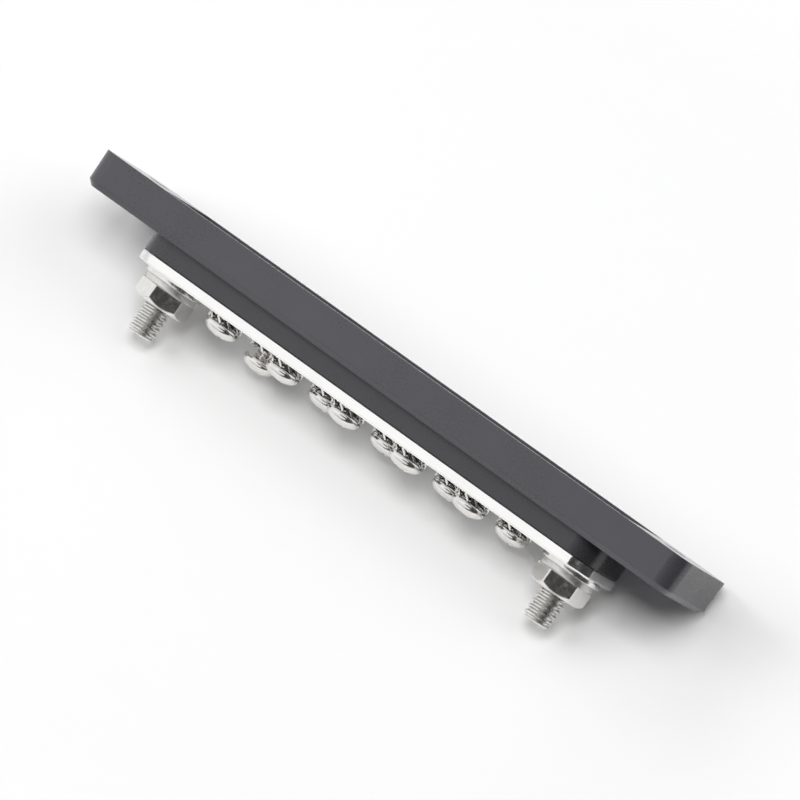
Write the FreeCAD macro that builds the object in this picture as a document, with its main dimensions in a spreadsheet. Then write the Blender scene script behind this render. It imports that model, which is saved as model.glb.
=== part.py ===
import FreeCAD, Part
import math
import os
import Sketcher

# Bus bar distribution box: a moulded base, hollow underneath, that carries a plated bus bar.
# Two studs clamp the bar to the base, and two staggered rows of terminal screws sit in the bar.
# Millimetres and degrees, +Z up. The origin is the middle of the base's underside.

# Driving dimensions
DIMENSIONS = {
    # Terminals, from which the bar and the base follow
    "screw_pitch": 16.5,
    "row_spacing": 7.2,
    "stud_offset": 15.9,
    "bar_end_margin": 6.75,
    "bar_side_margin": 8.0,
    "bar_thickness": 2.4,
    "bar_corner_cut": 4.1,
    "bar_edge_break": 0.3,
    # Moulded base
    "flange_height": 8.0,
    "flange_ledge": 3.25,
    "end_land": 17.1,
    "base_corner_radius": 3.8,
    "wall_draft": 1.5,
    "rim_chamfer": 1.1,
    "pedestal_height": 4.05,
    "pedestal_margin": 0.15,
    "pedestal_corner_radius": 6.0,
    "pedestal_roof": 2.5,
    "base_wall": 2.2,
    "cavity_overrun": 1.4,
    "boss_wall": 2.4,
    "boss_lip": 0.6,
    "head_recess": 1.5,
    "mounting_hole_inset": 8.5,
    "mounting_hole_diameter": 5.2,
    # Studs, with their washers and nuts
    "stud_diameter": 6.3,
    "stud_length": 22.2,
    "stud_tip_chamfer": 0.7,
    "hex_flats": 11.1,
    "hex_chamfer": 0.25,
    "hex_chamfer_slope": 0.85,
    "stud_head_height": 4.0,
    "nut_height": 3.9,
    "flat_washer_diameter": 13.5,
    "flat_washer_thickness": 1.15,
    "washer_edge_break": 0.2,
    "spring_washer_diameter": 12.0,
    "spring_washer_thickness": 1.35,
    "spring_split_width": 1.0,
    "spring_split_slant": 0.9,
    # Terminal screws and their toothed washers
    "screw_diameter": 4.1,
    "screw_length": 9.5,
    "screw_tip_chamfer": 0.5,
    "screw_head_diameter": 7.8,
    "screw_head_height": 2.65,
    "screw_head_rim": 0.75,
    "screw_head_undercut": 0.5,
    "recess_span": 4.4,
    "recess_arm": 1.1,
    "recess_depth": 1.5,
    "star_diameter": 8.0,
    "star_ring_width": 0.9,
    "star_root_overlap": 0.2,
    "star_sheet": 0.6,
    "star_height": 1.4,
    "star_tooth_run": 1.75,
    "star_teeth": 10,
    "backed_out": 1.6,
    # Clearances, each on the radius or on one side
    "hole_clearance": 0.2,
    "thread_clearance": 0.05,
    "screw_tip_clearance": 0.5,
    "hex_clearance": 0.15,
}

# Studs, screw rows and screws, each in the order of their places along the bar or across it
STUDS = ("1", "2")
ROWS = ("front", "rear")
SCREWS = ("1", "2", "3", "4", "5")
# The rear row's last screw has been left unscrewed part of the way
LOOSE_SCREW = ("rear", "5")
# Turns of the nuts, and of the spring washers' splits, about their studs
NUT_TURNS = {"1": -17.0, "2": -26.5}
SPLIT_TURNS = {"1": 25.0, "2": -70.0}
# Turns of the terminal screws, as tightening has left their recesses
SCREW_TURNS = {"front": (12.0, 33.0, 24.0, 8.0, 38.0), "rear": (29.0, 16.0, 40.0, 21.0, 26.0)}
# Step from one cone of a screw head's dome to the next, along the dome's ellipse
DOME_STEP = math.radians(30.0)
LEVEL_TOLERANCE = 1e-4

doc = FreeCAD.newDocument("bus_bar_distribution_box")
sheet = doc.addObject("Spreadsheet::Sheet", "dims")
for line, (alias, number) in enumerate(DIMENSIONS.items(), start=1):
    sheet.set(f"A{line}", alias)
    sheet.set(f"B{line}", str(number))
    sheet.setAlias(f"B{line}", alias)
doc.recompute()


class Size:
    """A size worked out from the sheet: its value now, and the expression that keeps it bound."""

    def __init__(self, text, value):
        self.text = text
        self.value = value

    def merge(self, sign, other, value):
        other_text = other.text if isinstance(other, Size) else repr(other)
        return Size(f"({self.text} {sign} {other_text})", value)

    def __add__(self, other):
        return self.merge("+", other, self.value + plain(other))

    def __sub__(self, other):
        return self.merge("-", other, self.value - plain(other))

    def __mul__(self, other):
        return self.merge("*", other, self.value * plain(other))

    def __truediv__(self, other):
        return self.merge("/", other, self.value / plain(other))

    def __neg__(self):
        return Size(f"(0 - {self.text})", -self.value)


def plain(size):
    return size.value if isinstance(size, Size) else size


def dim(alias):
    return Size(f"dims.{alias}", float(sheet.get(alias)))


def bind(target, path, size):
    target.setExpression(path, size.text)


# Sizes and places that several pieces share
row_reach = dim("screw_pitch") * (len(SCREWS) - 1)
row_stagger = dim("screw_pitch") / 2
outer_stud_x = (row_reach + row_stagger) / 2 + dim("stud_offset")
bar_length = (outer_stud_x + dim("bar_end_margin")) * 2
bar_width = dim("row_spacing") + dim("bar_side_margin") * 2
pedestal_length = bar_length + dim("pedestal_margin") * 2
pedestal_width = bar_width + dim("pedestal_margin") * 2
base_length = pedestal_length + dim("end_land") * 2
base_width = pedestal_width + dim("flange_ledge") * 2
mounting_hole_x = base_length / 2 - dim("mounting_hole_inset")
pedestal_top = dim("flange_height") + dim("pedestal_height")
stud_seat = dim("head_recess") + dim("stud_head_height")
bar_top = pedestal_top + dim("bar_thickness")
spring_washer_foot = bar_top + dim("flat_washer_thickness")
nut_foot = spring_washer_foot + dim("spring_washer_thickness")
screw_seat = bar_top + dim("star_height")
stud_hole = dim("stud_diameter") + dim("hole_clearance") * 2
hex_corners = dim("hex_flats") * (2 / math.sqrt(3))


def stud_x(number):
    return outer_stud_x if number == STUDS[-1] else -outer_stud_x


def screw_x(row, number):
    shift = row_stagger / 2 if row == ROWS[0] else -row_stagger / 2
    return dim("screw_pitch") * SCREWS.index(number) - row_reach / 2 + shift


def screw_y(row):
    half = dim("row_spacing") / 2
    return half if row == ROWS[-1] else -half


# Bodies and sketches
def new_body(label):
    body = doc.addObject("PartDesign::Body", label)
    body.Label = label
    return body


def new_sketch(body, name, role="XY_Plane", offset=None):
    sketch = body.newObject("Sketcher::SketchObject", name)
    plane = next(feature for feature in body.Origin.OriginFeatures if feature.Role == role)
    sketch.AttachmentSupport = [(plane, "")]
    sketch.MapMode = "FlatFace"
    if offset is not None:
        bind(sketch, "AttachmentOffset.Base.z", offset)
    return sketch


def measure(sketch, kind, places, size):
    index = sketch.addConstraint(Sketcher.Constraint(kind, *places, size.value))
    bind(sketch, f"Constraints[{index}]", size)


def pin_point(sketch, geometry, point, x, y):
    """Hold a point at (x, y) from the sketch's origin. A bare 0 puts it on the axis."""
    for kind, axis, size in (("DistanceX", -2, x), ("DistanceY", -1, y)):
        if isinstance(size, Size):
            measure(sketch, kind, (-1, 1, geometry, point), size)
        else:
            sketch.addConstraint(Sketcher.Constraint("PointOnObject", geometry, point, axis))


def polygon(sketch, points):
    """Straight lines through points whose coordinates are sizes or 0, closed."""
    spots = [FreeCAD.Vector(plain(x), plain(y), 0) for x, y in points]
    lines = [sketch.addGeometry(Part.LineSegment(a, b)) for a, b in zip(spots, spots[1:] + spots[:1])]
    for line, following in zip(lines, lines[1:] + lines[:1]):
        sketch.addConstraint(Sketcher.Constraint("Coincident", line, 2, following, 1))
    for line, (x, y) in zip(lines, points):
        pin_point(sketch, line, 1, x, y)


def circle(sketch, x, y, diameter):
    centre = FreeCAD.Vector(plain(x), plain(y), 0)
    ring = sketch.addGeometry(Part.Circle(centre, FreeCAD.Vector(0, 0, 1), diameter.value / 2))
    pin_point(sketch, ring, 3, x, y)
    measure(sketch, "Diameter", (ring,), diameter)


def hexagon(sketch, x, flats):
    """A hexagon about (x, 0), with two of its flats facing along the sketch's Y."""
    half = flats / 2
    corner = flats / math.sqrt(3)
    polygon(sketch, [(corner + x, 0), (corner / 2 + x, half), (-corner / 2 + x, half),
                     (-corner + x, 0), (-corner / 2 + x, -half), (corner / 2 + x, -half)])


def rounded_rectangle(sketch, length, width, radius):
    """Four sides joined by tangent corner arcs, centred on the sketch's origin."""
    r = radius.value
    x, y = length.value / 2 - r, width.value / 2 - r
    ends = [((-x, -y - r), (x, -y - r)), ((x + r, -y), (x + r, y)),
            ((x, y + r), (-x, y + r)), ((-x - r, y), (-x - r, -y))]
    sides = []
    for start, end in ends:
        side = Part.LineSegment(FreeCAD.Vector(*start, 0), FreeCAD.Vector(*end, 0))
        sides.append(sketch.addGeometry(side))
    arcs = []
    for quarter, centre in enumerate(((x, -y), (x, y), (-x, y), (-x, -y)), start=-1):
        ring = Part.Circle(FreeCAD.Vector(*centre, 0), FreeCAD.Vector(0, 0, 1), r)
        turn = quarter * math.pi / 2
        arcs.append(sketch.addGeometry(Part.ArcOfCircle(ring, turn, turn + math.pi / 2)))
    for side, arc, following in zip(sides, arcs, sides[1:] + sides[:1]):
        sketch.addConstraint(Sketcher.Constraint("Tangent", side, 2, arc, 1))
        sketch.addConstraint(Sketcher.Constraint("Tangent", arc, 2, following, 1))
    for arc in arcs[1:]:
        sketch.addConstraint(Sketcher.Constraint("Equal", arcs[0], arc))
    sketch.addConstraint(Sketcher.Constraint("Symmetric", sides[0], 1, sides[0], 2, -2))
    sketch.addConstraint(Sketcher.Constraint("Symmetric", sides[1], 1, sides[1], 2, -1))
    sketch.addConstraint(Sketcher.Constraint("Horizontal", sides[2]))
    sketch.addConstraint(Sketcher.Constraint("Vertical", sides[3]))
    measure(sketch, "Radius", (arcs[0],), radius)
    measure(sketch, "DistanceX", (sides[3], 1, sides[1], 1), length)
    measure(sketch, "DistanceY", (sides[0], 1, sides[2], 1), width)


# Features
def pad(body, sketch, name, length, reverse=False):
    feature = body.newObject("PartDesign::Pad", name)
    feature.Profile = sketch
    feature.Reversed = reverse
    bind(feature, "Length", length)
    return feature


def pocket(body, sketch, name, length, reverse=False):
    feature = body.newObject("PartDesign::Pocket", name)
    feature.Profile = sketch
    feature.Reversed = reverse
    bind(feature, "Length", length)
    return feature


def drill_upward(body, sketch, name):
    feature = body.newObject("PartDesign::Pocket", name)
    feature.Profile = sketch
    feature.Reversed = True
    feature.Type = "ThroughAll"
    return feature


def turn_profile(body, sketch, name, kind):
    feature = body.newObject(kind, name)
    feature.Profile = sketch
    feature.ReferenceAxis = (sketch, ["V_Axis"])
    feature.Angle = 360.0
    return feature


def dress(body, base, name, size, heights, wanted):
    """Chamfer the level edges of a feature at the given heights that pass a test."""
    doc.recompute()
    edges = []
    for number, edge in enumerate(base.Shape.Edges, start=1):
        low, high = edge.BoundBox.ZMin, edge.BoundBox.ZMax
        level = any(max(abs(low - plain(z)), abs(high - plain(z))) < LEVEL_TOLERANCE for z in heights)
        if level and wanted(edge):
            edges.append(f"Edge{number}")
    feature = body.newObject("PartDesign::Chamfer", name)
    feature.Base = (base, edges)
    bind(feature, "Size", size)
    return feature


def any_edge(edge):
    return True


def straight_edge(edge):
    return edge.Curve.TypeId == "Part::GeomLine"


def chamfer_hexagon(body, name, height, outward):
    """Turn the corners of a hexagon down at its end face of the given height and outward side."""
    sketch = new_sketch(body, f"{name}_profile", "XZ_Plane")
    inner = dim("hex_flats") / 2 - dim("hex_chamfer")
    outer = hex_corners / 2 + dim("hex_chamfer")
    drop = (outer - inner) * dim("hex_chamfer_slope")
    polygon(sketch, [(inner, height), (outer, height), (outer, drop * -outward + height)])
    return turn_profile(body, sketch, name, "PartDesign::Groove")


def place(body, x, y, z, turn=0.0):
    spot = FreeCAD.Vector(plain(x), plain(y), plain(z))
    body.Placement = FreeCAD.Placement(spot, FreeCAD.Rotation(FreeCAD.Vector(0, 0, 1), turn))
    for axis, size in (("x", x), ("y", y), ("z", z)):
        if isinstance(size, Size):
            bind(body, f"Placement.Base.{axis}", size)


# Moulded base
def make_base():
    body = new_body("base")
    outline = new_sketch(body, "flange_outline")
    rounded_rectangle(outline, base_length, base_width, dim("base_corner_radius"))
    flange = pad(body, outline, "flange", dim("flange_height"))
    bind(flange, "TaperAngle", -dim("wall_draft"))
    dress(body, flange, "flange_rim", dim("rim_chamfer"), [dim("flange_height")], any_edge)
    outline = new_sketch(body, "pedestal_outline")
    rounded_rectangle(outline, pedestal_length, pedestal_width, dim("pedestal_corner_radius"))
    pad(body, outline, "pedestal", pedestal_top)

    # Hollow underside, which reaches up into the pedestal between the studs
    wall = dim("base_wall")
    boss_diameter = hex_corners + (dim("hex_clearance") + dim("boss_wall")) * 2
    flange_roof = dim("flange_height") - wall
    outline = new_sketch(body, "flange_cavity_outline")
    rounded_rectangle(outline, pedestal_length + dim("cavity_overrun") * 2, base_width - wall * 2,
                      dim("base_corner_radius") - wall)
    pocket(body, outline, "flange_cavity", flange_roof, reverse=True)
    outline = new_sketch(body, "pedestal_cavity_outline")
    rounded_rectangle(outline, outer_stud_x * 2 - boss_diameter, pedestal_width - wall * 2,
                      dim("pedestal_corner_radius") - wall)
    pocket(body, outline, "pedestal_cavity", pedestal_top - dim("pedestal_roof"), reverse=True)

    # Bosses with hex pockets, which keep the stud heads from turning
    boss_foot = dim("head_recess") - dim("boss_lip")
    bosses = new_sketch(body, "boss_circles", offset=boss_foot)
    head_pockets = new_sketch(body, "head_pocket_outlines", offset=boss_foot)
    stud_circles = new_sketch(body, "stud_hole_circles")
    for number in STUDS:
        circle(bosses, stud_x(number), 0, boss_diameter)
        hexagon(head_pockets, stud_x(number), dim("hex_flats") + dim("hex_clearance") * 2)
        circle(stud_circles, stud_x(number), 0, stud_hole)
    pad(body, bosses, "stud_bosses", flange_roof - boss_foot)
    pocket(body, head_pockets, "head_pockets", stud_seat - boss_foot, reverse=True)
    drill_upward(body, stud_circles, "stud_holes")

    # Holes for the screw tips and for the mounting screws
    tip_circles = new_sketch(body, "tip_hole_circles")
    for row in ROWS:
        tip_hole = dim("screw_diameter") + dim("screw_tip_clearance") * 2
        circle(tip_circles, screw_x(row, SCREWS[0]), screw_y(row), tip_hole)
    first_tip_holes = drill_upward(body, tip_circles, "first_tip_holes")
    tip_holes = body.newObject("PartDesign::LinearPattern", "tip_holes")
    tip_holes.Originals = [first_tip_holes]
    tip_holes.Direction = (tip_circles, ["H_Axis"])
    tip_holes.Occurrences = len(SCREWS)
    bind(tip_holes, "Length", row_reach)
    body.Tip = tip_holes
    mounting_circles = new_sketch(body, "mounting_hole_circles")
    for x in (-mounting_hole_x, mounting_hole_x):
        circle(mounting_circles, x, 0, dim("mounting_hole_diameter"))
    body.Tip = drill_upward(body, mounting_circles, "mounting_holes")
    return body


# Plated bus bar with cut corners, drilled for the studs and tapped for the terminal screws
def make_bus_bar():
    body = new_body("bus_bar")
    outline = new_sketch(body, "bar_outline")
    x, y, cut = bar_length / 2, bar_width / 2, dim("bar_corner_cut")
    polygon(outline, [(x - cut, -y), (x, cut - y), (x, y - cut), (x - cut, y),
                      (cut - x, y), (-x, y - cut), (-x, cut - y), (cut - x, -y)])
    for number in STUDS:
        circle(outline, stud_x(number), 0, stud_hole)
    for row in ROWS:
        for number in SCREWS:
            tapped_hole = dim("screw_diameter") + dim("thread_clearance") * 2
            circle(outline, screw_x(row, number), screw_y(row), tapped_hole)
    plate = pad(body, outline, "bar_plate", dim("bar_thickness"))
    body.Tip = dress(body, plate, "bar_edges", dim("bar_edge_break"), [0, dim("bar_thickness")],
                     straight_edge)
    place(body, 0, 0, pedestal_top)
    return body


# Stud: a hex-headed bolt put in from below, with its seat at the body's origin
def make_stud(number):
    body = new_body(f"stud_{number}")
    outline = new_sketch(body, "head_outline")
    hexagon(outline, 0, dim("hex_flats"))
    pad(body, outline, "head", dim("stud_head_height"), reverse=True)
    chamfer_hexagon(body, "head_chamfer", -dim("stud_head_height"), -1)
    outline = new_sketch(body, "shank_circle")
    circle(outline, 0, 0, dim("stud_diameter"))
    shank = pad(body, outline, "shank", dim("stud_length"))
    body.Tip = dress(body, shank, "tip_chamfer", dim("stud_tip_chamfer"), [dim("stud_length")], any_edge)
    place(body, stud_x(number), 0, stud_seat)
    return body


def make_flat_washer(number):
    body = new_body(f"flat_washer_{number}")
    outline = new_sketch(body, "washer_circles")
    circle(outline, 0, 0, dim("flat_washer_diameter"))
    circle(outline, 0, 0, stud_hole)
    ring = pad(body, outline, "washer_ring", dim("flat_washer_thickness"))
    body.Tip = dress(body, ring, "washer_edges", dim("washer_edge_break"), [0, dim("flat_washer_thickness")],
                     lambda edge: edge.Curve.Radius > stud_hole.value / 2)
    place(body, stud_x(number), 0, bar_top)
    return body


# Spring washer, drawn flat under its nut, with a slanted split
def make_spring_washer(number):
    body = new_body(f"spring_washer_{number}")
    outline = new_sketch(body, "spring_circles")
    circle(outline, 0, 0, dim("spring_washer_diameter"))
    circle(outline, 0, 0, stud_hole)
    pad(body, outline, "spring_ring", dim("spring_washer_thickness"))
    split = new_sketch(body, "split_outline", "XZ_Plane")
    half, lean = dim("spring_split_width") / 2, dim("spring_split_slant") / 2
    top = dim("spring_washer_thickness")
    polygon(split, [(-half - lean, 0), (half - lean, 0), (half + lean, top), (lean - half, top)])
    body.Tip = pocket(body, split, "spring_split", dim("spring_washer_diameter"))
    place(body, stud_x(number), 0, spring_washer_foot, SPLIT_TURNS[number])
    return body


# Hex nut, chamfered on its outer side only
def make_hex_nut(number):
    body = new_body(f"hex_nut_{number}")
    outline = new_sketch(body, "nut_outline")
    hexagon(outline, 0, dim("hex_flats"))
    circle(outline, 0, 0, dim("stud_diameter") + dim("thread_clearance") * 2)
    pad(body, outline, "nut_block", dim("nut_height"))
    body.Tip = chamfer_hexagon(body, "nut_chamfer", dim("nut_height"), 1)
    place(body, stud_x(number), 0, nut_foot, NUT_TURNS[number])
    return body


# Terminal screw with a domed head and a cross recess, its head's seat at the body's origin
def make_terminal_screw(row, number):
    body = new_body(f"terminal_screw_{row}_{number}")
    profile = new_sketch(body, "screw_profile", "XZ_Plane")
    shank, head = dim("screw_diameter") / 2, dim("screw_head_diameter") / 2
    tip, top, bevel = -dim("screw_length"), dim("screw_head_height"), dim("screw_tip_chamfer")
    rim = dim("screw_head_rim")
    dome = []
    for turn in (DOME_STEP, 2 * DOME_STEP):
        dome.append((head * math.cos(turn), (top - rim) * math.sin(turn) + rim))
    flat = head * math.cos(2.5 * DOME_STEP)
    polygon(profile, [(0, tip), (shank - bevel, tip), (shank, tip + bevel), (shank, 0),
                      (head - dim("screw_head_undercut"), 0), (head, rim), *dome, (flat, top), (0, top)])
    turn_profile(body, profile, "screw_blank", "PartDesign::Revolution")
    cross = new_sketch(body, "recess_outline", offset=top)
    span, arm = dim("recess_span") / 2, dim("recess_arm") / 2
    polygon(cross, [(span, -arm), (span, arm), (arm, arm), (arm, span), (-arm, span), (-arm, arm),
                    (-span, arm), (-span, -arm), (-arm, -arm), (-arm, -span), (arm, -span), (arm, -arm)])
    body.Tip = pocket(body, cross, "recess", dim("recess_depth"))
    seat = screw_seat + dim("backed_out") if (row, number) == LOOSE_SCREW else screw_seat
    place(body, screw_x(row, number), screw_y(row), seat, SCREW_TURNS[row][SCREWS.index(number)])
    return body


# Toothed lock washer: a ring with a flat for each tooth, whose slant takes it from the bar to the screw head
def make_star_washer(row, number):
    body = new_body(f"star_washer_{row}_{number}")
    bore = dim("screw_diameter") + dim("hole_clearance") * 2
    ring_radius = bore / 2 + dim("star_ring_width")
    height, sheet_thickness = dim("star_height"), dim("star_sheet")
    outline = new_sketch(body, "ring_outline", offset=(height - sheet_thickness) / 2)
    half_turn = math.pi / dim("star_teeth").value
    corner_turns = [(2 * side + 1) * half_turn - math.pi / 2 for side in range(int(dim("star_teeth").value))]
    corner = ring_radius / math.cos(half_turn)
    polygon(outline, [(corner * math.cos(turn), corner * math.sin(turn)) for turn in corner_turns])
    circle(outline, 0, 0, bore)
    pad(body, outline, "ring", sheet_thickness)
    root = ring_radius - dim("star_root_overlap")
    side = new_sketch(body, "tooth_outline", "XZ_Plane", offset=root)
    half_run = dim("star_tooth_run") / 2
    polygon(side, [(half_run - sheet_thickness, 0), (half_run, 0),
                   (sheet_thickness - half_run, height), (-half_run, height)])
    tooth = pad(body, side, "tooth", dim("star_diameter") / 2 - root)
    teeth = body.newObject("PartDesign::PolarPattern", "teeth")
    teeth.Originals = [tooth]
    teeth.Axis = (outline, ["N_Axis"])
    teeth.Angle = 360.0
    bind(teeth, "Occurrences", dim("star_teeth"))
    body.Tip = teeth
    place(body, screw_x(row, number), screw_y(row), bar_top)
    return body


pieces = [make_base(), make_bus_bar()]
for stud in STUDS:
    pieces += [make_stud(stud), make_flat_washer(stud), make_spring_washer(stud), make_hex_nut(stud)]
for row in ROWS:
    for number in SCREWS:
        pieces += [make_terminal_screw(row, number), make_star_washer(row, number)]
doc.recompute()

# Nothing is written unless every feature and every solid is sound
for item in doc.Objects:
    if "Invalid" in item.State or "Error" in item.State:
        raise RuntimeError(f"{item.Label} failed: {item.State}")
for piece in pieces:
    if piece.Shape.isNull() or not piece.Shape.isValid() or len(piece.Shape.Solids) != 1:
        raise RuntimeError(f"{piece.Label} is not one valid solid")

os.makedirs("parts", exist_ok=True)
for piece in pieces:
    piece.Shape.exportStep(f"parts/{piece.Label}.step")
    print(f"{piece.Label}: {piece.Shape.Volume:.2f} mm3")
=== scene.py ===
import math

import bmesh
import bpy
from mathutils import Matrix, Vector


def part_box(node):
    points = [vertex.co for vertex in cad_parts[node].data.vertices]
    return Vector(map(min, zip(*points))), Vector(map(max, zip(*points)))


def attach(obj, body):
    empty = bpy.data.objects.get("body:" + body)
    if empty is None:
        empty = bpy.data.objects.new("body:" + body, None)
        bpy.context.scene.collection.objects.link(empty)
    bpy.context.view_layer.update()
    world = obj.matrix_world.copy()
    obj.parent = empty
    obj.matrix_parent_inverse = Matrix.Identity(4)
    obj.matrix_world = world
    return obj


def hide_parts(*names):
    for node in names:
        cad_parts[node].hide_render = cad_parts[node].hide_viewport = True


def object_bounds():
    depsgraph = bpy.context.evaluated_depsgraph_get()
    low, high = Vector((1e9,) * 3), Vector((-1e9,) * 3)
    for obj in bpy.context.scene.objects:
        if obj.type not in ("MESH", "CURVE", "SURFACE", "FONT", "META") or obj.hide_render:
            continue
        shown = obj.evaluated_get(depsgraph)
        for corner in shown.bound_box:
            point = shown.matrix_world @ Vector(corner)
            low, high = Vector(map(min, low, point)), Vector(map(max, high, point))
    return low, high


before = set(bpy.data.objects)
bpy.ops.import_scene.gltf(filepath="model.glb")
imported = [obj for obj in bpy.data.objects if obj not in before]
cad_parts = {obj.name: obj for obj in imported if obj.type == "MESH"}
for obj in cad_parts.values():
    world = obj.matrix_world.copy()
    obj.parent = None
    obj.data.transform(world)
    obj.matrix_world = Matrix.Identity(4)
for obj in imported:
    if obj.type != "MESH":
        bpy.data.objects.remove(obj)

cad_low, cad_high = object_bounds()
MM = 0.001
TAU = 2 * math.pi

# Camera, fitted to the photograph: it looks across the part, a little from below, with the image turned
PHOTO_PIXELS = 800
CAMERA_AZIMUTH = math.radians(-21.59)
CAMERA_ELEVATION = math.radians(-1.64)
CAMERA_DISTANCE = 1175 * MM
CAMERA_AIM = Vector((-2.37, 0.0, 7.42)) * MM
CAMERA_REACH = 20.0
IMAGE_TURN = math.radians(34.9)
PIXELS_PER_METRE = 4963.8
SENSOR_WIDTH = 36.0

# Base: height of its flange, above which the pedestal stands, and chamfer of the flange's rim
FLANGE_TOP = 8.0 * MM
RIM_CHAMFER = 1.1 * MM

# Studs and what sits on them. The nuts and the spring washers' splits are turned about the studs
STUDS = ("1", "2")
STUD_RADIUS = 3.15 * MM
STUD_TIP_CHAMFER = 0.7 * MM
STUD_HEAD_HEIGHT = 4.0 * MM
STUD_PITCH = 1.27 * MM
STUD_THREAD_DEPTH = 0.62 * MM
WASHER_BORE_RADIUS = 3.35 * MM
SPRING_WASHER_RADIUS = 6.0 * MM
NUT_APOTHEM = 5.55 * MM
NUT_BORE_RADIUS = 3.2 * MM
NUT_TURNS = {"1": math.radians(-17.0), "2": math.radians(-26.5)}
SPLIT_TURNS = {"1": math.radians(115.0), "2": math.radians(20.0)}

# Nuts and stud heads: width of the chamfer on the flats, its height for each unit of width, and how far the
# corners are blunted
HEX_CHAMFER = 0.25 * MM
HEX_CHAMFER_SLOPE = 0.85
HEX_BLUNTING = 0.06 * MM

# Terminal screws, with the turns of their recesses in degrees, row by row
SCREW_RADIUS = 2.05 * MM
SCREW_TIP_CHAMFER = 0.5 * MM
SCREW_HEAD_HEIGHT = 2.65 * MM
SCREW_PITCH = 0.79 * MM
SCREW_THREAD_DEPTH = 0.42 * MM
SCREW_TURNS = {"front": (12.0, 33.0, 24.0, 8.0, 38.0), "rear": (29.0, 16.0, 40.0, 21.0, 26.0)}

# Threads: shares of the pitch at the crest and the root, places of the grid's rows along a pitch, turns that
# are laid before the rod starts, and how far a rod reaches into its head
CREST_SHARE, ROOT_SHARE = 0.14, 0.16
THREAD_PHASES = (0.0, 0.07, 0.14, 0.26, 0.38, 0.49, 0.57, 0.65, 0.77, 0.89)
LEAD_TURNS = 2
EMBED = 0.4 * MM

# Meshes: points round a thread, a ring and a nut, and the radius where a turned profile closes on its axis
THREAD_SEGMENTS = 48
ROUND_SEGMENTS = 96
NUT_SEGMENTS = 144
AXIS_RADIUS = 0.3 * MM

# Angles in degrees above which an edge stays sharp
SMOOTH_ANGLE = 30.0
SCREW_SMOOTH_ANGLE = 32.0
STAR_SMOOTH_ANGLE = 35.0
THREAD_SMOOTH_ANGLE = 38.0
WASHER_SMOOTH_ANGLE = 50.0

# Distances under which points merge, in a mesh and at the seam of two joined meshes
MERGE_DISTANCE = 0.0001 * MM
SEAM_DISTANCE = 0.0005 * MM

# Tints of the plastic, the steel, the plating and all else
COOL = (1.0, 0.985, 1.13)
WARM = (1.0, 0.985, 0.955)
NEUTRAL = (1.0, 0.998, 0.99)
PLAIN = (1.0, 1.0, 1.0)

# Steels: two tones, least and greatest roughness, and the scale of the grain
STEELS = {
    "stud_steel": ((0.88, 0.76), (0.16, 0.32), 2600.0),
    "washer_steel": ((0.88, 0.78), (0.14, 0.28), 1900.0),
    "spring_steel": ((0.84, 0.70), (0.34, 0.55), 1500.0),
    "nut_steel": ((0.84, 0.74), (0.10, 0.22), 1500.0),
    "screw_steel": ((0.86, 0.75), (0.10, 0.24), 2100.0),
    "star_steel": ((0.90, 0.74), (0.14, 0.30), 2300.0),
}

# Radii between which the studs' thread flanks get painted shade, and inside which the toothed washers get
# painted shade
GROOVE_RADII = (2.55 * MM, 3.1 * MM)
RECESS_SHADE_RADII = (3.0 * MM, 3.6 * MM)

# Samples of the rounded normals, and the numbers of the mix node's colour sockets
BEVEL_SAMPLES = 8
MIX_SHARE, MIX_FIRST, MIX_SECOND, MIX_RESULT = 0, 6, 7, 2

# Stage: tone of the table and the floor, gaps to the part, and the distances in metres over which they fade
SHEET_TONE = 0.93
TABLE_GAP = Vector((0.0, 0.1, 0.0)) * MM
FLOOR_GAP = 0.2 * MM
TABLE_FADE = (0.09, 0.14)
FLOOR_FADE = (0.09, 0.30)

# World: its light on surfaces, and the heights of a direction over which its white in reflections dims
WORLD_LIGHT = 0.09
DIM_HEIGHTS = (0.3, 0.85)
DIM_LEVEL = 0.7

# Each lamp's place in metres, power in watts, and width and height, named as the photograph has them
LAMPS = {
    "front": ((-0.15, -0.98, -0.34), 4.9, (0.4, 0.4)),
    "left": ((0.70, -0.79, -0.02), 4.2, (0.7, 0.5)),
    "upper_left": ((0.75, -0.40, -0.65), 3.4, (1.1, 0.8)),
    "upper_right": ((-0.75, -0.40, -0.65), 4.6, (1.1, 0.8)),
    "behind": ((0.0, 0.4, 0.9), 11.0, (0.7, 0.7)),
}

# Dark cards that only reflections show: azimuths with the lowest and the highest elevation, in degrees
CARD_RADIUS = 0.6
CARD_ROWS = 8
CARD_TONE = 0.06
CARDS = {
    "low_card": [(-98, -26, 30), (-88, -32, 40), (-80, -34, 46), (-66, -34, 56), (-54, -30, 64),
                 (-47, -22, 66), (-41, -14, 30), (-34, -13, 13), (-10, -12, 12), (-6, -7, 6), (4, -6, 5)],
    "high_card": [(-48, 34, 68), (-36, 44, 72), (-22, 55, 76), (-6, 64, 78)],
}


# Places and sizes read from the frame
def size_of(node):
    low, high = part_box(node)
    return high - low


def seat_of(node):
    """The middle of a node's box, at its lowest height."""
    low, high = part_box(node)
    return Vector(((low.x + high.x) / 2, (low.y + high.y) / 2, low.z))


def seat_on(axis, node):
    """The point of an upright axis at a node's lowest height."""
    return Vector((axis.x, axis.y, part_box(node)[0].z))


# Meshes
def new_object(name, data):
    """An object in the scene."""
    item = bpy.data.objects.new(name, data)
    bpy.context.collection.objects.link(item)
    return item


def clean(mesh, distance):
    """Merge points nearer than a distance and take out faces without area."""
    work = bmesh.new()
    work.from_mesh(mesh)
    bmesh.ops.remove_doubles(work, verts=work.verts, dist=distance)
    bmesh.ops.dissolve_degenerate(work, edges=work.edges, dist=distance)
    bmesh.ops.recalc_face_normals(work, faces=work.faces)
    work.to_mesh(mesh)
    work.free()


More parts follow.
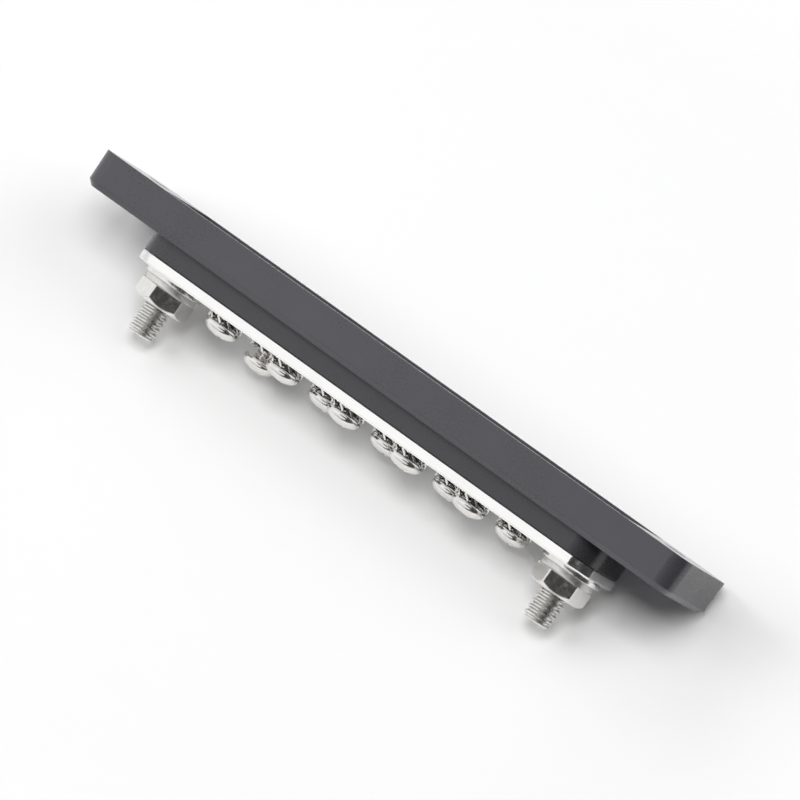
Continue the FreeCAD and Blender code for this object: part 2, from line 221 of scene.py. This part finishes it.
def soften(mesh, smooth_angle):
    """Shade a mesh smooth, apart from its sharp edges."""
    for face in mesh.polygons:
        face.use_smooth = True
    mesh.set_sharp_from_angle(angle=math.radians(smooth_angle))


def mesh_from(name, vertices, faces, smooth_angle=SMOOTH_ANGLE):
    mesh = bpy.data.meshes.new(name)
    mesh.from_pydata(vertices, [], faces)
    clean(mesh, MERGE_DISTANCE)
    soften(mesh, smooth_angle)
    return mesh


def ring(radius, z, segments=ROUND_SEGMENTS):
    """A circle of points round the Z axis. The radius and the height may be functions of the angle."""
    points = []
    for step in range(segments):
        angle = TAU * step / segments
        r = radius(angle) if callable(radius) else radius
        height = z(angle) if callable(z) else z
        points.append((r * math.cos(angle), r * math.sin(angle), height))
    return points


def loft(name, rings, closed=False, smooth_angle=SMOOTH_ANGLE):
    """A skin through rings of equal length, closed on itself or capped at both ends."""
    count = len(rings[0])
    vertices = [point for loop in rings for point in loop]
    faces = []
    pairs = len(rings) if closed else len(rings) - 1
    for low in range(pairs):
        high = (low + 1) % len(rings)
        for step in range(count):
            following = (step + 1) % count
            faces.append((low * count + step, low * count + following,
                          high * count + following, high * count + step))
    if not closed:
        faces.append(tuple(reversed(range(count))))
        faces.append(tuple((len(rings) - 1) * count + step for step in range(count)))
    return mesh_from(name, vertices, faces, smooth_angle)


def arc_points(centre, radius, start, end, steps):
    """Points (r, z) along an arc of a profile, angles in degrees."""
    points = []
    for step in range(steps + 1):
        angle = math.radians(start + (end - start) * step / steps)
        points.append((centre[0] + radius * math.cos(angle), centre[1] + radius * math.sin(angle)))
    return points


def thread_share(phase):
    """Depth of a thread, 0 at its crest and 1 at its root, at a share of the pitch."""
    flank = (1 - CREST_SHARE - ROOT_SHARE) / 2
    if phase < CREST_SHARE:
        return 0.0
    if phase < CREST_SHARE + flank:
        return (phase - CREST_SHARE) / flank
    if phase < CREST_SHARE + flank + ROOT_SHARE:
        return 1.0
    return 1 - (phase - CREST_SHARE - flank - ROOT_SHARE) / flank


def threaded_rod(name, major, depth, pitch, low, high, tip):
    """A right-hand thread from low to high, its grid along the helix, with a chamfer of size tip on top."""
    turns = math.ceil((high - low) / pitch) + LEAD_TURNS + 1
    cap = pitch / 2
    vertices = []
    for turn in range(turns):
        for phase in THREAD_PHASES:
            for step in range(THREAD_SEGMENTS + 1):
                angle = TAU * step / THREAD_SEGMENTS
                height = low - LEAD_TURNS * pitch + (turn + phase + step / THREAD_SEGMENTS) * pitch
                radius = major - depth * thread_share(phase)
                radius = min(radius, major - tip + max(high - height, 0.0))
                if height > high:
                    radius = (major - tip) * max(0.0, 1 - (height - high) / cap)
                if height < low:
                    radius = (major - depth) * max(0.0, 1 - (low - height) / cap)
                height = min(max(height, low), high)
                vertices.append((radius * math.cos(angle), radius * math.sin(angle), height))
    across = THREAD_SEGMENTS + 1
    faces = []
    for row in range(turns * len(THREAD_PHASES) - 1):
        for step in range(THREAD_SEGMENTS):
            corner = row * across + step
            faces.append((corner, corner + 1, corner + across + 1, corner + across))
    return mesh_from(name, vertices, faces, THREAD_SMOOTH_ANGLE)


def applied(piece, name):
    """The mesh of a piece with its modifiers applied. The piece itself goes."""
    graph = bpy.context.evaluated_depsgraph_get()
    mesh = bpy.data.meshes.new_from_object(piece.evaluated_get(graph))
    mesh.name = name
    bpy.data.objects.remove(piece)
    return mesh


def combine(target, other, operation):
    """Boolean of two meshes, as a new mesh."""
    first = new_object("boolean_first", target)
    second = new_object("boolean_second", other)
    cutter = first.modifiers.new("boolean", "BOOLEAN")
    cutter.operation = operation
    cutter.solver = "EXACT"
    cutter.object = second
    result = applied(first, target.name)
    bpy.data.objects.remove(second)
    clean(result, SEAM_DISTANCE)
    return result


def add_bevel(piece, width, segments):
    """A modifier that rounds a piece's sharp edges."""
    edges = piece.modifiers.new("edges", "BEVEL")
    edges.width = width
    edges.segments = segments
    edges.limit_method = "ANGLE"
    return edges


def hexagon_radius(apothem):
    """Distance from the middle of a hexagon to its side, by angle, with flats that face along Y."""
    limit = apothem / math.cos(math.pi / 6) - HEX_BLUNTING

    def radius(angle):
        lean = (angle + math.pi / 6 - math.pi / 2) % (math.pi / 3) - math.pi / 6
        return min(apothem / math.cos(lean), limit)
    return radius


def stud_mesh():
    """A hex head with its chamfer below, and a threaded rod. The head's lower face is at z = 0."""
    size = size_of("stud_1")
    apothem = size.y / 2
    side = hexagon_radius(apothem)
    face = apothem - HEX_CHAMFER

    def chamfer_foot(angle):
        return (side(angle) - face) * HEX_CHAMFER_SLOPE

    outline = [(AXIS_RADIUS, 0.0), (face, 0.0), (side, chamfer_foot),
               (side, STUD_HEAD_HEIGHT), (AXIS_RADIUS, STUD_HEAD_HEIGHT)]
    head = loft("stud_head", [ring(r, z) for r, z in outline])
    rod = threaded_rod("stud", STUD_RADIUS, STUD_THREAD_DEPTH, STUD_PITCH, STUD_HEAD_HEIGHT - EMBED, size.z,
                       STUD_TIP_CHAMFER)
    mesh = combine(rod, head, "UNION")
    soften(mesh, THREAD_SMOOTH_ANGLE)
    return mesh


def washer_profile(outer, inner, top, lower_edge, lower_steps, edge, steps):
    """Points (r, z) round a washer's section. Its outer lower edge has a radius of its own."""
    profile = arc_points((outer - lower_edge, lower_edge), lower_edge, -90, 0, lower_steps)
    profile += arc_points((outer - edge, top - edge), edge, 0, 90, steps)
    profile += arc_points((inner + edge, top - edge), edge, 90, 180, steps)
    profile += arc_points((inner + edge, edge), edge, 180, 270, steps)
    return profile


def flat_washer_mesh():
    """A punched washer, its outer edge bent round below."""
    size = size_of("flat_washer_1")
    bend, bend_steps = 0.36 * MM, 6
    burr, burr_steps = 0.14 * MM, 3
    profile = washer_profile(size.x / 2, WASHER_BORE_RADIUS, size.z, bend, bend_steps, burr, burr_steps)
    rings = [ring(r, z) for r, z in profile]
    return loft("flat_washer", rings, closed=True, smooth_angle=WASHER_SMOOTH_ANGLE)


def spring_washer_mesh():
    """A ring with rounded edges and a slanted split on its +X side."""
    top = size_of("spring_washer_1").z
    half_gap, lean = 0.5 * MM, 0.45 * MM
    edge, edge_steps = 0.2 * MM, 3
    profile = washer_profile(SPRING_WASHER_RADIUS, WASHER_BORE_RADIUS, top,
                             edge, edge_steps, edge, edge_steps)
    sections = []
    for step in range(ROUND_SEGMENTS + 1):
        share = step / ROUND_SEGMENTS
        section = []
        for r, z in profile:
            shift = lean * (1 - 2 * z / top)
            start = math.asin((shift + half_gap) / r)
            end = TAU + math.asin((shift - half_gap) / r)
            angle = start + (end - start) * share
            section.append((r * math.cos(angle), r * math.sin(angle), z))
        sections.append(section)
    return loft("spring_washer", sections, smooth_angle=WASHER_SMOOTH_ANGLE)


def hex_nut_mesh():
    """A nut with its chamfer on the outer side and a countersink at each end of its bore."""
    top = size_of("hex_nut_1").z
    side = hexagon_radius(NUT_APOTHEM)
    face = NUT_APOTHEM - HEX_CHAMFER
    bore, sink = NUT_BORE_RADIUS, 0.3 * MM
    edge, edge_steps, edge_angle = 0.2 * MM, 3, 20.0

    def chamfer_foot(angle):
        return top - (side(angle) - face) * HEX_CHAMFER_SLOPE

    outline = [(bore, sink), (bore + sink, 0.0), (side, 0.0), (side, chamfer_foot),
               (face, top), (bore + sink, top), (bore, top - sink)]
    mesh = loft("hex_nut", [ring(r, z, NUT_SEGMENTS) for r, z in outline], closed=True)
    piece = new_object("hex_nut", mesh)
    edges = add_bevel(piece, edge, edge_steps)
    edges.angle_limit = math.radians(edge_angle)
    edges.harden_normals = True
    return applied(piece, mesh.name)


def cross_cutter(top):
    """A tapered cross that cuts the recess of a screw head.

    Each level has its depth below the top, half the span of the cross and half the width of an arm."""
    levels = [(-0.3 * MM, 2.34 * MM, 0.58 * MM),
              (1.0 * MM, 1.6 * MM, 0.48 * MM),
              (1.5 * MM, 0.9 * MM, 0.42 * MM)]
    rings = []
    for depth, span, arm in levels:
        corners = [(span, -arm), (span, arm), (arm, arm), (arm, span), (-arm, span), (-arm, arm),
                   (-span, arm), (-span, -arm), (-arm, -arm), (-arm, -span), (arm, -span), (arm, -arm)]
        rings.append([(x, y, top - depth) for x, y in corners])
    return loft("cross_cutter", rings)


def terminal_screw_mesh():
    """Domed head, cross recess and threaded shank, with the head's seat at z = 0."""
    size = size_of("terminal_screw_front_1")
    head, top = size.x / 2, SCREW_HEAD_HEIGHT
    rim, undercut, under_steps = 0.75 * MM, 0.5 * MM, 6
    dome_end, dome_steps = 84.5, 13
    profile = [(AXIS_RADIUS, 0.0)]
    for step in range(under_steps):
        turn = math.radians(90.0 * (step - under_steps) / under_steps)
        profile.append((head - undercut * (1 - math.cos(turn)), rim * (1 + math.sin(turn))))
    for step in range(dome_steps + 1):
        turn = math.radians(dome_end * step / dome_steps)
        profile.append((head * math.cos(turn), rim + (top - rim) * math.sin(turn)))
    head_mesh = loft("terminal_screw", [ring(r, z) for r, z in profile])
    rod = threaded_rod("screw_rod", SCREW_RADIUS, SCREW_THREAD_DEPTH, SCREW_PITCH, -EMBED, size.z - top,
                       SCREW_TIP_CHAMFER)
    rod.transform(Matrix.Rotation(math.pi, 4, "X"))
    mesh = combine(head_mesh, rod, "UNION")
    mesh = combine(mesh, cross_cutter(top), "DIFFERENCE")
    soften(mesh, SCREW_SMOOTH_ANGLE)
    return mesh


def star_sheet():
    """A flat ring with teeth that twist out of its plane, without thickness."""
    teeth, bore, rim, tip = 10, 2.25 * MM, 3.0 * MM, 4.0 * MM
    twist, twist_growth = math.radians(-34), 1.6
    root_half, tip_half = math.radians(12.0), math.radians(10.0)
    tooth_steps = (-1.0, -0.5, 0.0, 0.5, 1.0)
    tooth_rows = (0.25, 0.5, 0.75, 1.0)
    gap_shares = (1 / 3, 2 / 3)
    pitch = TAU / teeth
    vertices, faces = [], []

    def point(r, angle, lift=0.0):
        vertices.append((r * math.cos(angle), r * math.sin(angle), lift))
        return len(vertices) - 1

    inner, outer = [], []
    for tooth in range(teeth):
        middle = tooth * pitch - math.pi / 2
        angles = [middle + step * root_half for step in tooth_steps]
        angles += [middle + root_half + share * (pitch - 2 * root_half) for share in gap_shares]
        first = len(inner)
        inner += [point(bore, angle) for angle in angles]
        outer += [point(rim, angle) for angle in angles]
        row_below = outer[first:first + len(tooth_steps)]
        for share in tooth_rows:
            r = rim + (tip - rim) * share
            half = root_half + (tip_half - root_half) * share
            slope = math.tan(twist * min(1.0, twist_growth * share))
            row = [point(r, middle + step * half, step * half * r * slope) for step in tooth_steps]
            faces += [(row_below[i], row_below[i + 1], row[i + 1], row[i]) for i in range(len(row) - 1)]
            row_below = row
    count = len(inner)
    faces += [(inner[i], inner[(i + 1) % count], outer[(i + 1) % count], outer[i]) for i in range(count)]
    return mesh_from("star_sheet", vertices, faces)


def star_washer_mesh():
    """The toothed sheet with its thickness, fitted to the height of its node, seat at z = 0."""
    sheet, edge, edge_steps = 0.42 * MM, 0.05 * MM, 2
    piece = new_object("star_sheet", star_sheet())
    solid = piece.modifiers.new("thickness", "SOLIDIFY")
    solid.thickness = sheet
    solid.offset = 0.0
    solid.use_even_offset = True
    add_bevel(piece, edge, edge_steps)
    mesh = applied(piece, "star_washer")
    height = size_of("star_washer_front_1").z
    reach = max(abs(vertex.co.z) for vertex in mesh.vertices)
    for vertex in mesh.vertices:
        vertex.co.z = (vertex.co.z / reach + 1) * height / 2
    soften(mesh, STAR_SMOOTH_ANGLE)
    return mesh


# Nodes and materials
class Nodes:
    """A node tree that grows node by node."""

    def __init__(self, tree):
        self.tree = tree

    def add(self, kind, inputs, output=0, **settings):
        """A node with its inputs set or linked. Gives one of its outputs, or the node if none is named."""
        node = self.tree.nodes.new(kind)
        for name, value in settings.items():
            setattr(node, name, value)
        for name, value in inputs.items():
            if isinstance(value, bpy.types.NodeSocket):
                self.tree.links.new(value, node.inputs[name])
            else:
                node.inputs[name].default_value = value
        return node.outputs[output] if output is not None else node


class Look(Nodes):
    """A material round one principled shader."""

    def __init__(self, name, values):
        self.material = bpy.data.materials.new(name)
        self.material.use_nodes = True
        super().__init__(self.material.node_tree)
        self.shader = self.tree.nodes["Principled BSDF"]
        for socket, value in values.items():
            self.shader.inputs[socket].default_value = value
        self.place = self.add("ShaderNodeTexCoord", {}, "Object")
        self.normal = self.add("ShaderNodeNewGeometry", {}, "Normal")

    def connect(self, socket, output):
        self.tree.links.new(output, self.shader.inputs[socket])

    def stretched(self, scale):
        """The object's coordinates, stretched along its axes."""
        return self.add("ShaderNodeMapping", {"Vector": self.place, "Scale": scale})

    def height(self, vector):
        """The Z part of a place or a direction."""
        return self.add("ShaderNodeSeparateXYZ", {0: vector}, "Z")

    def noise(self, scale, detail, place=None):
        """Noise with features of about one over the scale, in metres."""
        inputs = {"Vector": place or self.place, "Scale": scale, "Detail": detail}
        return self.add("ShaderNodeTexNoise", inputs)

    def spread(self, value, low, high, start=0.3, end=0.7):
        """A value brought from start..end to low..high."""
        return self.add("ShaderNodeMapRange", {"Value": value, "From Min": start, "From Max": end,
                                               "To Min": low, "To Max": high})

    def math(self, operation, first, second=0.0):
        return self.add("ShaderNodeMath", {0: first, 1: second}, operation=operation)

    def mix(self, share, first, second):
        """One colour into another by a share."""
        inputs = {MIX_SHARE: share, MIX_FIRST: first, MIX_SECOND: second}
        return self.add("ShaderNodeMix", inputs, MIX_RESULT, data_type="RGBA")

    def greys(self, share, tones, tint=PLAIN):
        """One tone of a tint into another by a share."""
        return self.mix(share, grey(tones[0], tint), grey(tones[1], tint))

    def rounded(self, radius):
        """Normals as if the edges were rounded."""
        return self.add("ShaderNodeBevel", {"Radius": radius}, samples=BEVEL_SAMPLES)

    def edges(self, rounded):
        """A share that rises towards the edges, where the rounded normals leave the true ones."""
        edge, flat = 0.80, 0.985
        facing = self.add("ShaderNodeVectorMath", {0: rounded, 1: self.normal}, "Value",
                          operation="DOT_PRODUCT")
        return self.spread(facing, 1.0, 0.0, edge, flat)

    def inward(self, inner, outer):
        """A share that rises from an outer distance to an inner one from the object's Z axis."""
        flat = self.add("ShaderNodeVectorMath", {0: self.place, 1: (1, 1, 0)}, operation="MULTIPLY")
        radius = self.add("ShaderNodeVectorMath", {0: flat}, "Value", operation="LENGTH")
        return self.spread(radius, 1.0, 0.0, inner, outer)

    def bump(self, height, distance, strength, normal=None):
        inputs = {"Height": height, "Distance": distance, "Strength": strength}
        if normal:
            inputs["Normal"] = normal
        self.connect("Normal", self.add("ShaderNodeBump", inputs))


def grey(level, tint=PLAIN):
    return tuple(level * share for share in tint) + (1.0,)


def moulded_plastic():
    """Black plastic with a fine eroded texture, cloudy gloss, a little dust, edges rubbed lighter, and
    painted shade that darkens the pedestal above the flange.
    """
    cloud_scale, grain_scale, dust_scale, rub_scale = 70.0, 2400.0, 1300.0, 420.0
    edge_radius, grain_height, grain_strength = 0.25 * MM, 0.008 * MM, 0.5
    shade_step_low, shade_step_high = FLANGE_TOP - 0.2 * MM, FLANGE_TOP + 0.4 * MM
    # The pedestal's tones are darker than the flange's: painted shade.
    flange_tones, pedestal_shade_tones, worn = (0.050, 0.060), (0.030, 0.038), grey(0.10, COOL)
    dust_share, dust_levels, rub_shares = 0.22, (0.70, 0.80), (0.05, 0.55)
    cloud_gloss, grain_gloss = (0.26, 0.33), (-0.03, 0.03)
    under_share, under_heights = 0.5, (-0.9, -0.5)
    look = Look("moulded_plastic", {"IOR": 1.58})
    rounded = look.rounded(edge_radius)
    clouds = look.spread(look.noise(cloud_scale, 4.0), 0.0, 1.0)
    grain = look.noise(grain_scale, 3.0)
    # Painted shade: above the flange's top, the pedestal takes the darker tones.
    step = look.spread(look.height(look.place), 0.0, 1.0, shade_step_low, shade_step_high)
    flange = look.greys(clouds, flange_tones, COOL)
    pedestal = look.greys(clouds, pedestal_shade_tones, COOL)
    dust = look.spread(look.noise(dust_scale, 1.0), 0.0, dust_share, *dust_levels)
    tone = look.mix(dust, look.mix(step, flange, pedestal), worn)
    patches = look.spread(look.noise(rub_scale, 3.0), *rub_shares)
    rubbed = look.math("MULTIPLY", look.edges(rounded), patches)
    look.connect("Base Color", look.mix(rubbed, tone, worn))
    gloss = look.math("ADD", look.spread(grain, *grain_gloss), look.spread(clouds, *cloud_gloss, 0.0, 1.0))
    under = look.spread(look.height(look.normal), under_share, 1.0, *under_heights)
    look.connect("Roughness", look.math("MULTIPLY", gloss, under))
    look.bump(grain, grain_height, grain_strength, rounded)
    return look.material


def plated_bar():
    """Nickel plating on a rolled bar: fine lines along it, and torn, darker metal on the sheared corners."""
    line_scale, cloud_scale, tear_scale = 1100.0, 160.0, 420.0
    line_stretch, tear_stretch = (0.03, 1.0, 1.0), (1.0, 1.0, 0.6)
    edge_radius, relief_height, relief_strength, line_share = 0.3 * MM, 0.16 * MM, 0.6, 0.05
    plating_tones, bare_tones = (0.98, 0.94), (0.72, 0.92)
    corner_levels, tear_levels = (0.36, 0.44), (0.42, 0.62)
    line_gloss, tear_gloss = (0.08, 0.20), (0.02, 0.36)
    look = Look("plated_bar", {"Metallic": 1.0})
    rounded = look.rounded(edge_radius)
    lines = look.noise(line_scale, 4.0, look.stretched(line_stretch))
    clouds = look.spread(look.noise(cloud_scale, 3.0), 0.0, 1.0)
    plating = look.greys(clouds, plating_tones, NEUTRAL)
    parts = look.add("ShaderNodeSeparateXYZ", {0: look.normal}, None)
    across = look.math("MULTIPLY", parts.outputs["X"], parts.outputs["Y"])
    sheared = look.spread(look.math("ABSOLUTE", across), 0.0, 1.0, *corner_levels)
    torn = look.noise(tear_scale, 2.0, look.stretched(tear_stretch))
    bare = look.greys(look.spread(torn, 0.0, 1.0, *tear_levels), bare_tones)
    look.connect("Base Color", look.mix(sheared, plating, bare))
    dullness = look.math("MULTIPLY", sheared, look.spread(torn, *tear_gloss))
    look.connect("Roughness", look.math("ADD", look.spread(lines, *line_gloss), dullness))
    tears = look.math("MULTIPLY", sheared, torn)
    relief = look.math("ADD", look.math("MULTIPLY", lines, line_share), tears)
    look.bump(relief, relief_height, relief_strength, rounded)
    return look.material


def steel(name, thread=None, recess=None):
    """Plated steel, cloudy between two tones, with uneven gloss between two roughnesses.

    A thread (foot, root, crest) is duller towards its roots, with painted shade that darkens its flanks
    above its foot.
    Inside a recess (inner, outer) the steel is painted dark as shade."""
    tones, gloss, grain_scale = STEELS[name]
    cloud_scale, grain_height, grain_strength = 420.0, 0.010 * MM, 0.4
    # Flank tone and share: painted shade on the thread's flanks.
    flank_shade_tone, flank_shade_share, foot_fade, root_dullness = 0.34, 1.3, 0.1 * MM, 0.10
    # Tone of the painted shade inside a recess.
    recess_shade_tone = 0.10
    look = Look(name, {"Metallic": 1.0})
    clouds = look.spread(look.noise(cloud_scale, 4.0), 0.0, 1.0)
    grain = look.noise(grain_scale, 4.0)
    tone = look.greys(clouds, tones, WARM)
    roughness = look.spread(grain, *gloss)
    if thread:
        foot, root, crest = thread
        above = look.spread(look.height(look.place), 0.0, flank_shade_share, foot, foot + foot_fade)
        grooves = look.inward(root, crest)
        # Painted shade: the flanks between crest and root are coloured darker above the foot.
        flanks = look.math("MULTIPLY", look.math("PINGPONG", grooves, 0.5), above)
        tone = look.mix(flanks, tone, grey(flank_shade_tone, WARM))
        roughness = look.math("ADD", roughness, look.math("MULTIPLY", grooves, root_dullness))
    # Painted shade: inside the recess radii the steel is coloured dark, for the shaded gap under a screw
    # head.
    if recess:
        tone = look.mix(look.inward(*recess), tone, grey(recess_shade_tone, WARM))
    look.connect("Base Color", tone)
    look.connect("Roughness", roughness)
    look.bump(grain, grain_height, grain_strength)
    return look.material


# Pieces
def dress_node(node, material):
    """A CAD node keeps its form and takes a new material."""
    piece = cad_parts[node]
    piece.data.materials.clear()
    piece.data.materials.append(material)


def coated(mesh, material):
    """A mesh with its one material."""
    mesh.materials.append(material)
    return mesh


def add_piece(node, mesh, place, turn=0.0):
    """A detailed piece in a node's place."""
    piece = new_object(f"{node}_detail", mesh)
    piece.matrix_world = Matrix.Translation(place) @ Matrix.Rotation(turn, 4, "Z")
    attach(piece, "root")
    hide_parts(node)


def add_stud_stacks():
    """Each stud with its washers and its nut."""
    stud = coated(stud_mesh(), steel("stud_steel", thread=(STUD_HEAD_HEIGHT, *GROOVE_RADII)))
    flat_washer = coated(flat_washer_mesh(), steel("washer_steel"))
    spring_washer = coated(spring_washer_mesh(), steel("spring_steel"))
    hex_nut = coated(hex_nut_mesh(), steel("nut_steel"))
    for number in STUDS:
        axis = seat_of(f"stud_{number}")
        add_piece(f"stud_{number}", stud, axis)
        node = f"flat_washer_{number}"
        add_piece(node, flat_washer, seat_of(node))
        node = f"spring_washer_{number}"
        add_piece(node, spring_washer, seat_on(axis, node), SPLIT_TURNS[number])
        node = f"hex_nut_{number}"
        add_piece(node, hex_nut, seat_on(axis, node), NUT_TURNS[number])


def add_terminals():
    """Each terminal screw with its toothed washer."""
    screw = coated(terminal_screw_mesh(), steel("screw_steel"))
    star_washer = coated(star_washer_mesh(), steel("star_steel", recess=RECESS_SHADE_RADII))
    for row, turns in SCREW_TURNS.items():
        for number, turn in enumerate(turns, start=1):
            node = f"terminal_screw_{row}_{number}"
            place = seat_of(node)
            place.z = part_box(node)[1].z - SCREW_HEAD_HEIGHT
            add_piece(node, screw, place, math.radians(turn))
            node = f"star_washer_{row}_{number}"
            add_piece(node, star_washer, seat_on(place, node))


# Stage
def empty_nodes(owner):
    """The node tree of a new material or world, with nothing in it."""
    owner.use_nodes = True
    nodes = Nodes(owner.node_tree)
    nodes.tree.nodes.clear()
    return nodes


def pale_sheet(name, corners, fade, mirrored):
    """A sheet that keeps the part's shadow, seen from its front by the camera and perhaps in reflections.

    It fades into the white world between two distances from the origin."""
    mesh = bpy.data.meshes.new(name)
    mesh.from_pydata(corners, [], [(0, 1, 2, 3)])
    sheet = new_object(name, mesh)
    material = bpy.data.materials.new(name)
    nodes = empty_nodes(material)
    pale = nodes.add("ShaderNodeBsdfDiffuse", {"Color": grey(SHEET_TONE)})
    clear = nodes.add("ShaderNodeBsdfTransparent", {})
    behind = nodes.add("ShaderNodeNewGeometry", {}, "Backfacing")
    place = nodes.add("ShaderNodeTexCoord", {}, "Object")
    distance = nodes.add("ShaderNodeVectorMath", {0: place}, "Value", operation="LENGTH")
    faded = nodes.add("ShaderNodeMapRange", {"Value": distance, "From Min": fade[0], "From Max": fade[1]},
                      interpolation_type="SMOOTHSTEP")
    hidden = nodes.add("ShaderNodeMath", {0: behind, 1: faded}, operation="MAXIMUM")
    front = nodes.add("ShaderNodeMixShader", {0: hidden, 1: pale, 2: clear})
    nodes.add("ShaderNodeOutputMaterial", {"Surface": front}, None)
    mesh.materials.append(material)
    sheet.visible_diffuse = False
    sheet.visible_glossy = mirrored
    sheet.visible_transmission = False
    sheet.visible_shadow = False


def add_table():
    """The photograph's table. The part lies on it with the flange's far rim and the bar's far edge."""
    bar_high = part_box("bus_bar")[1]
    rim_line = Vector((0.0, cad_high.y, FLANGE_TOP - RIM_CHAMFER)) + TABLE_GAP
    bar_line = Vector((0.0, bar_high.y, bar_high.z)) + TABLE_GAP
    side = Vector((TABLE_FADE[1], 0.0, 0.0))
    rise = (bar_line - rim_line).normalized() * TABLE_FADE[1]
    corners = [rim_line - side - rise, rim_line + side - rise,
               rim_line + side + rise, rim_line - side + rise]
    pale_sheet("table", corners, TABLE_FADE, mirrored=True)


def add_floor():
    """A floor under the upright part, for views from above."""
    far, low = FLOOR_FADE[1], cad_low.z - FLOOR_GAP
    corners = [(-far, -far, low), (far, -far, low), (far, far, low), (-far, far, low)]
    pale_sheet("floor", corners, FLOOR_FADE, mirrored=False)


def make_world():
    """Plain soft light, white to the camera and at eye level in reflections."""
    world = bpy.data.worlds.new("studio")
    bpy.context.scene.world = world
    nodes = empty_nodes(world)
    path = nodes.add("ShaderNodeLightPath", {}, None)
    rays = {0: path.outputs["Is Camera Ray"], 1: path.outputs["Is Transmission Ray"]}
    seen = nodes.add("ShaderNodeMath", rays, operation="MAXIMUM")
    direction = nodes.add("ShaderNodeTexCoord", {}, "Generated")
    height = nodes.add("ShaderNodeSeparateXYZ", {0: direction}, "Z")
    dimming = {"Value": height, "From Min": DIM_HEIGHTS[0], "From Max": DIM_HEIGHTS[1],
               "To Min": 1.0, "To Max": DIM_LEVEL}
    dimmer = nodes.add("ShaderNodeMapRange", dimming)
    light = nodes.add("ShaderNodeBackground", {"Color": grey(1.0), "Strength": WORLD_LIGHT})
    mirrored = nodes.add("ShaderNodeBackground", {"Color": grey(1.0), "Strength": dimmer})
    white = nodes.add("ShaderNodeBackground", {"Color": grey(1.0), "Strength": 1.0})
    glossy = nodes.add("ShaderNodeMixShader", {0: path.outputs["Is Glossy Ray"], 1: light, 2: mirrored})
    mixed = nodes.add("ShaderNodeMixShader", {0: seen, 1: glossy, 2: white})
    nodes.add("ShaderNodeOutputWorld", {"Surface": mixed}, None)


def add_lamp(name, place, power, size):
    """A rectangular lamp that faces the origin and isn't seen itself."""
    data = bpy.data.lights.new(name, "AREA")
    data.energy = power
    data.shape = "RECTANGLE"
    data.size, data.size_y = size
    lamp = new_object(name, data)
    lamp.location = place
    lamp.rotation_mode = "QUATERNION"
    lamp.rotation_quaternion = (-Vector(place)).to_track_quat("-Z", "Y")
    lamp.visible_camera = False
    lamp.visible_glossy = False


def dark_card(name, outline):
    """A dark screen round the camera's side, between two elevations at each azimuth."""
    vertices = []
    for azimuth, low, high in outline:
        turn = math.radians(azimuth)
        for row in range(CARD_ROWS + 1):
            lift = math.radians(low + (high - low) * row / CARD_ROWS)
            reach = CARD_RADIUS * math.cos(lift)
            vertices.append((reach * math.sin(turn), -reach * math.cos(turn), CARD_RADIUS * math.sin(lift)))
    faces = []
    for column in range(len(outline) - 1):
        for row in range(CARD_ROWS):
            corner = column * (CARD_ROWS + 1) + row
            faces.append((corner, corner + CARD_ROWS + 1, corner + CARD_ROWS + 2, corner + 1))
    mesh = bpy.data.meshes.new(name)
    mesh.from_pydata(vertices, [], faces)
    card = new_object(name, mesh)
    material = bpy.data.materials.new(name)
    nodes = empty_nodes(material)
    glow = nodes.add("ShaderNodeEmission", {"Color": grey(CARD_TONE)})
    nodes.add("ShaderNodeOutputMaterial", {"Surface": glow}, None)
    mesh.materials.append(material)
    card.visible_camera = False
    card.visible_diffuse = False
    card.visible_shadow = False
    card.visible_transmission = False


def add_camera():
    """The photograph's camera."""
    data = bpy.data.cameras.new("camera")
    data.sensor_width = SENSOR_WIDTH
    data.lens = SENSOR_WIDTH * PIXELS_PER_METRE * CAMERA_DISTANCE / PHOTO_PIXELS
    data.clip_end = CAMERA_REACH
    camera = new_object("camera", data)
    back = Vector((math.sin(CAMERA_AZIMUTH) * math.cos(CAMERA_ELEVATION),
                   -math.cos(CAMERA_AZIMUTH) * math.cos(CAMERA_ELEVATION), math.sin(CAMERA_ELEVATION)))
    along = Vector((0, 0, 1)).cross(-back).normalized()
    upward = along.cross(back).normalized()
    right = math.cos(IMAGE_TURN) * along - math.sin(IMAGE_TURN) * upward
    up = -(math.sin(IMAGE_TURN) * along + math.cos(IMAGE_TURN) * upward)
    turn = Matrix((right, up, back)).transposed().to_4x4()
    camera.matrix_world = Matrix.Translation(CAMERA_AIM + back * CAMERA_DISTANCE) @ turn
    bpy.context.scene.camera = camera


dress_node("base", moulded_plastic())
dress_node("bus_bar", plated_bar())
add_stud_stacks()
add_terminals()

add_table()
add_floor()
make_world()
for lamp, (place, power, size) in LAMPS.items():
    add_lamp(lamp, place, power, size)
for card, outline in CARDS.items():
    dark_card(card, outline)
add_camera()
bpy.context.scene.view_settings.view_transform = "Standard"
